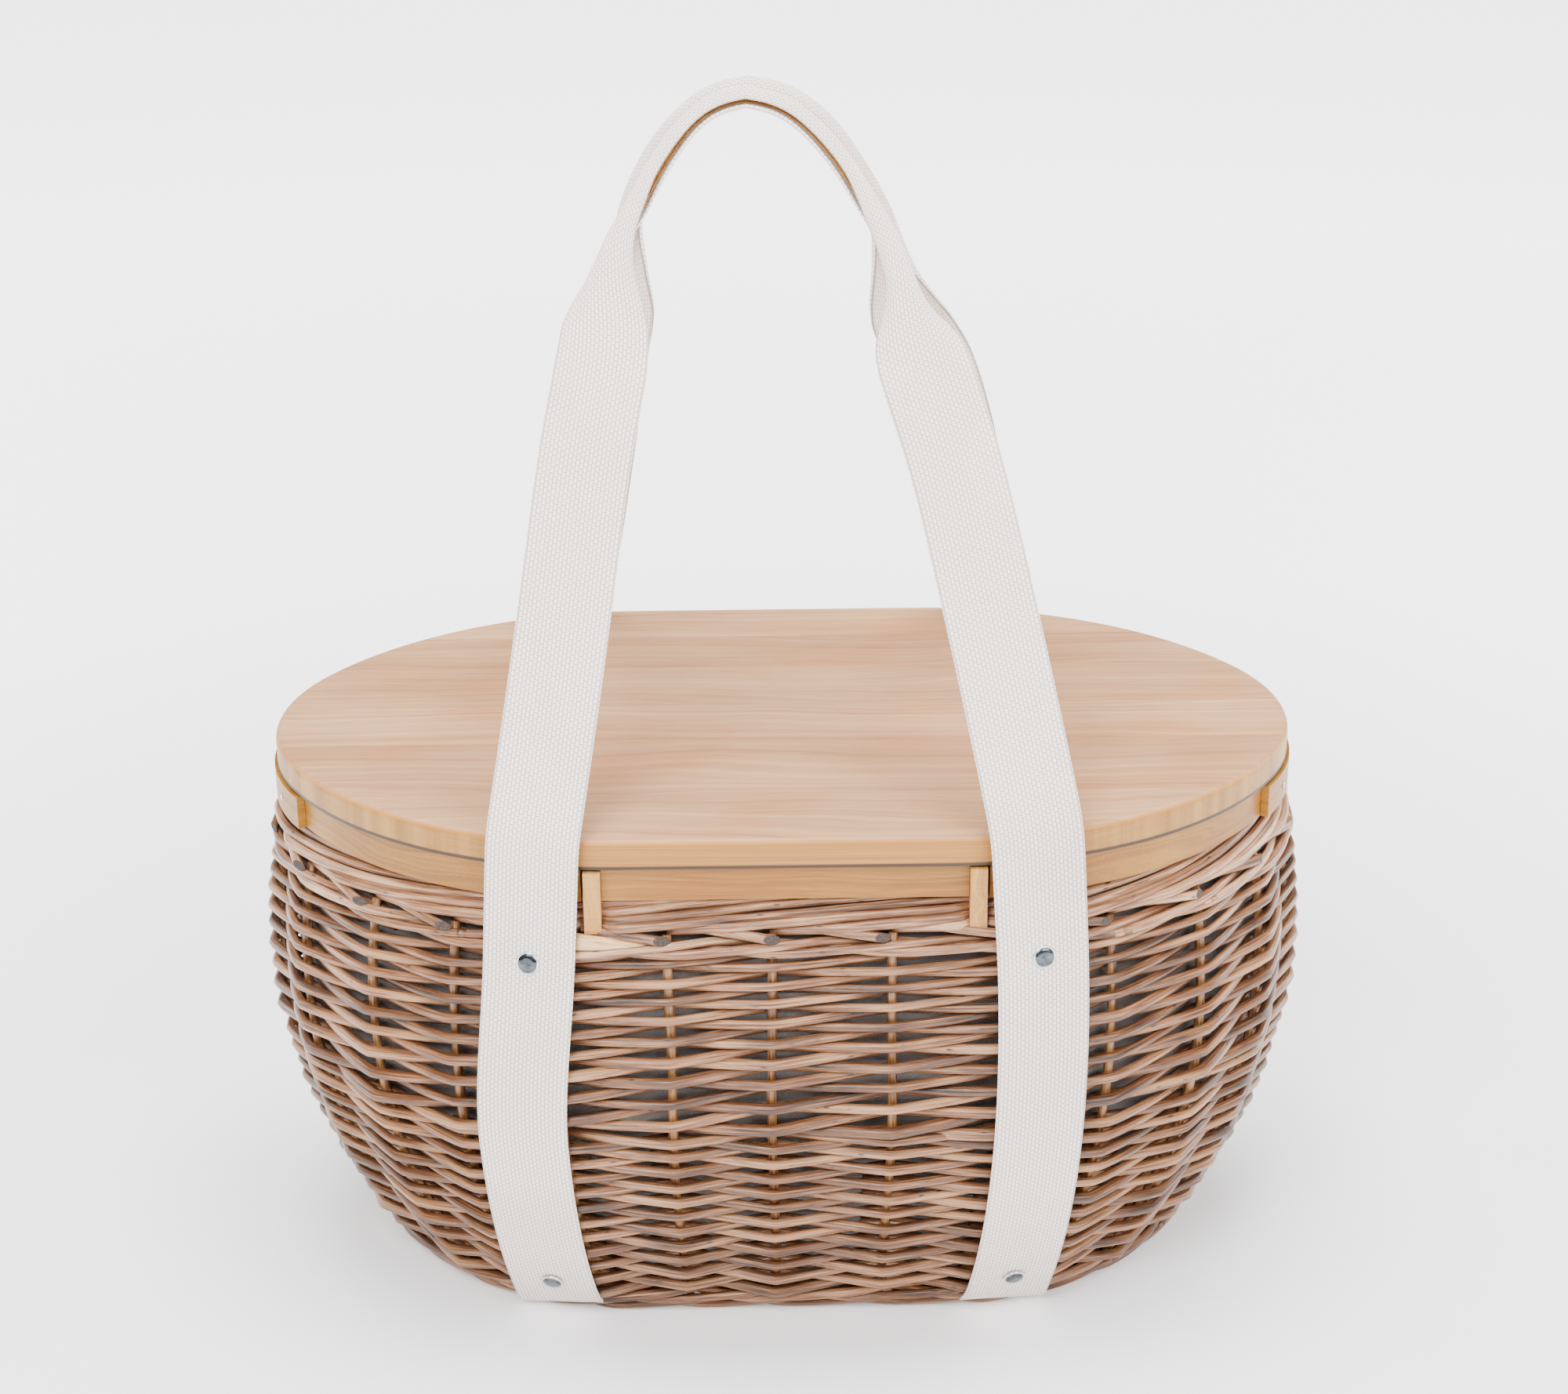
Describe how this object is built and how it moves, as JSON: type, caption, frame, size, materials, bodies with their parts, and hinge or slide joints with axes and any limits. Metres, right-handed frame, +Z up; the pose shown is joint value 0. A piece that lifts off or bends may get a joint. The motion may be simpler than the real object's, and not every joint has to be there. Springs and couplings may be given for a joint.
{
  "type": "wicker picnic basket",
  "caption": "Oval willow picnic basket with a loose planked wooden lid, bentwood rim, fabric liner and two riveted cotton webbing carrying loops.",
  "frame": {"origin": "centre of the base, on the floor under the middle of the basket", "axes": "+Z up, +X along the basket's length, -Y towards the front"},
  "size_m": [0.6006, 0.3736, 0.6836],
  "materials": {
    "willow": "matt, antique-washed willow rods",
    "willow_stake": "matt, antique-washed willow stakes",
    "rim_pine": "satin-lacquered bent pine",
    "lid_pine": "satin-lacquered pine planks",
    "cotton_webbing": "matt natural cotton webbing",
    "grip_leather": "smooth tan lining",
    "liner_canvas": "matt grey canvas",
    "liner_hem": "matt grey binding",
    "nickel": "polished nickel"
  },
  "bodies": {
    "basket": {"side_weave_lower_front_left": "willow", "side_weave_lower_front_right": "willow", "side_weave_lower_back_left": "willow", "side_weave_lower_back_right": "willow", "side_weave_upper_front_left": "willow", "side_weave_upper_front_right": "willow", "side_weave_upper_back_left": "willow", "side_weave_upper_back_right": "willow", "top_border": "willow", "foot_border": "willow", "base_mat": "willow", "stakes": "willow_stake", "base_sticks": "willow_stake", "liner": "liner_canvas", "liner_binding": "liner_hem", "front_rail": "rim_pine", "back_rail": "rim_pine", "rim_strip_front_left": "rim_pine", "post_front_left": "rim_pine", "rim_strip_front_right": "rim_pine", "post_front_right": "rim_pine", "rim_strip_back_left": "rim_pine", "post_back_left": "rim_pine", "rim_strip_back_right": "rim_pine", "post_back_right": "rim_pine", "rim_tacks": "nickel", "band_left": "cotton_webbing", "band_right": "cotton_webbing", "rivet_front_left_upper": "nickel", "burr_front_left_upper": "nickel", "rivet_front_left_lower": "nickel", "burr_front_left_lower": "nickel", "rivet_front_right_upper": "nickel", "burr_front_right_upper": "nickel", "rivet_front_right_lower": "nickel", "burr_front_right_lower": "nickel", "rivet_back_left_upper": "nickel", "burr_back_left_upper": "nickel", "rivet_back_left_lower": "nickel", "burr_back_left_lower": "nickel", "rivet_back_right_upper": "nickel", "burr_back_right_upper": "nickel", "rivet_back_right_lower": "nickel", "burr_back_right_lower": "nickel"},
    "lid": {"lid_plank_1": "lid_pine", "lid_plank_2": "lid_pine", "lid_plank_3": "lid_pine", "lid_plank_4": "lid_pine", "lid_plank_5": "lid_pine", "lid_plank_6": "lid_pine"},
    "front_loop": {"loop_front": "cotton_webbing", "grip_lining_front": "grip_leather"},
    "back_loop": {"loop_back": "cotton_webbing", "grip_lining_back": "grip_leather"}
  },
  "joints": [
    {"name": "lid_slide", "type": "slide", "parent": "basket", "child": "lid", "axis": [1, 0, 0], "range_m": [0, 0.6]},
    {"name": "front_loop_fold", "type": "hinge", "parent": "basket", "child": "front_loop", "pos_m": [0, -0.18185, 0.2635], "axis": [1, 0, 0], "range_deg": [0, 130]},
    {"name": "back_loop_fold", "type": "hinge", "parent": "basket", "child": "back_loop", "pos_m": [0, 0.18185, 0.2635], "axis": [-1, 0, 0], "range_deg": [0, 130]}
  ]
}
